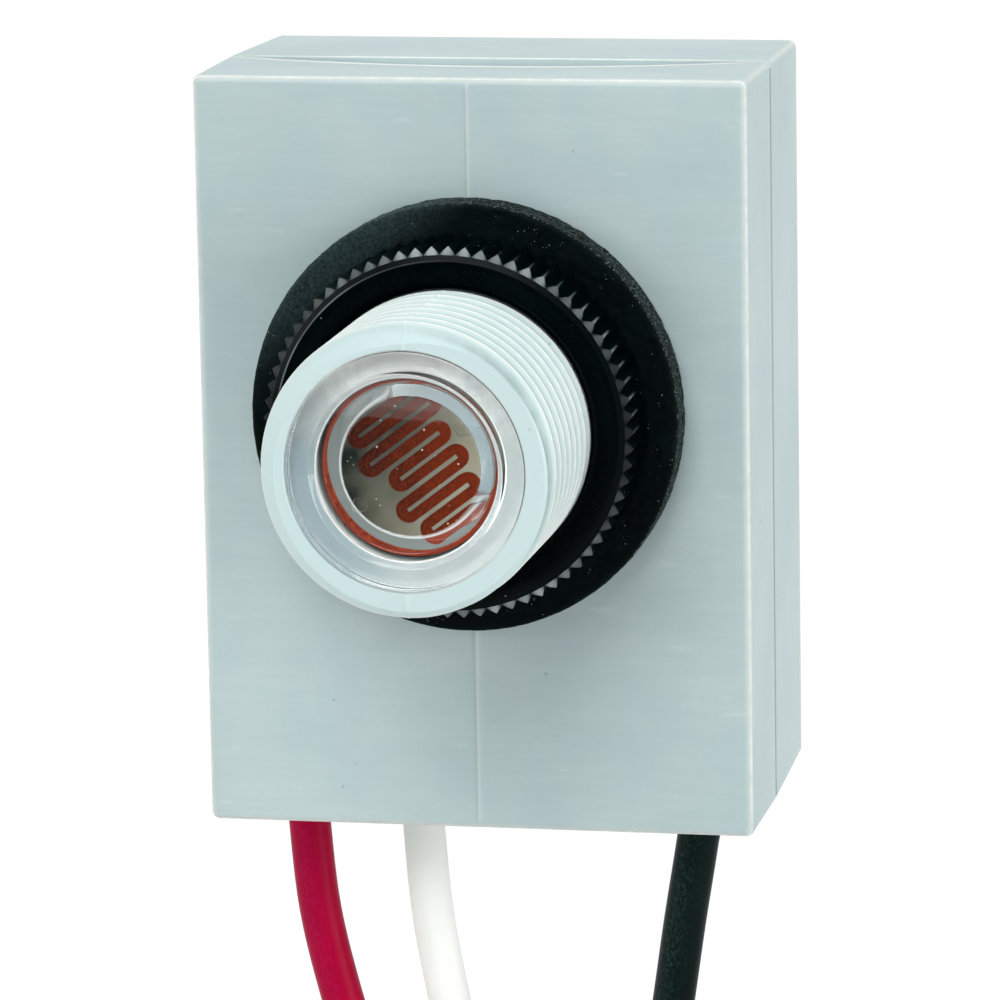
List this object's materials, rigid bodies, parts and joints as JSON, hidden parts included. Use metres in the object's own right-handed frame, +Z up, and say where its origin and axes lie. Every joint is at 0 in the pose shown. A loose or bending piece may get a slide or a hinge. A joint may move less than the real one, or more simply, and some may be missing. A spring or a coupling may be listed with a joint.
{
  "type": "photocell switch",
  "caption": "Fixed-mount photocell switch: moulded case with a threaded stem, light cell behind a clear lens, rubber gasket, knurled locknut and hanging insulated leads.",
  "frame": {"origin": "on the stem's axis, in the plane of the case's front face, which the gasket seals to a panel", "axes": "-Y along the stem, towards the lens; +Z up, away from the leads; +X to the right, seen from the lens"},
  "size_m": [0.041, 0.0488, 0.2085],
  "materials": {
    "case": "satin moulded plastic",
    "gasket": "rough",
    "locknut": "semi-gloss",
    "lens": "clear",
    "cell_ceramic": "matt",
    "cell_film": "matt",
    "electrode": "satin",
    "tinned_wire": "satin",
    "plate": "matt laminate",
    "brass": "satin",
    "bimetal": "satin",
    "contact": "satin silver",
    "heater": "matt",
    "wire_red": "semi-gloss",
    "wire_white": "semi-gloss",
    "wire_black": "semi-gloss",
    "copper": "bare strands"
  },
  "bodies": {
    "case": {"front_case": "case", "rear_case": "case", "lens": "lens", "cell_disc": "cell_ceramic", "cell_film": "cell_film", "electrode_outer": "electrode", "electrode_inner": "electrode", "cell_lead_line": "tinned_wire", "cell_lead_heater": "tinned_wire", "switch_base": "plate", "line_terminal": "brass", "load_terminal": "brass", "neutral_terminal": "brass", "heater_terminal": "brass", "terminal_rivets": "brass", "fixed_contact": "contact", "heater": "heater", "heater_leads": "tinned_wire", "wire_red": "wire_red", "wire_white": "wire_white", "wire_black": "wire_black", "strands_red": "copper", "strands_white": "copper", "strands_black": "copper"},
    "gasket": {"gasket": "gasket"},
    "locknut": {"locknut": "locknut"},
    "contact_arm": {"bimetal_arm": "bimetal", "moving_contact": "contact"}
  },
  "joints": [
    {"name": "gasket_slide", "type": "slide", "parent": "case", "child": "gasket", "axis": [0, -1, 0], "range_m": [0, 0.0203]},
    {"name": "locknut_turn", "type": "hinge", "parent": "gasket", "child": "locknut", "pos_m": [0, -0.006, 0], "axis": [0, -1, 0], "range_deg": [0, 4010]},
    {"name": "arm_flex", "type": "hinge", "parent": "case", "child": "contact_arm", "pos_m": [0.0137, 0.0076, -0.006], "axis": [0, 0, 1], "range_deg": [0, 4], "stiffness_Nm_per_rad": 0.02}
  ],
  "couplings": [
    {"joint": "gasket_slide", "follows": "locknut_turn", "m_per_rad": 0.00028871}
  ]
}
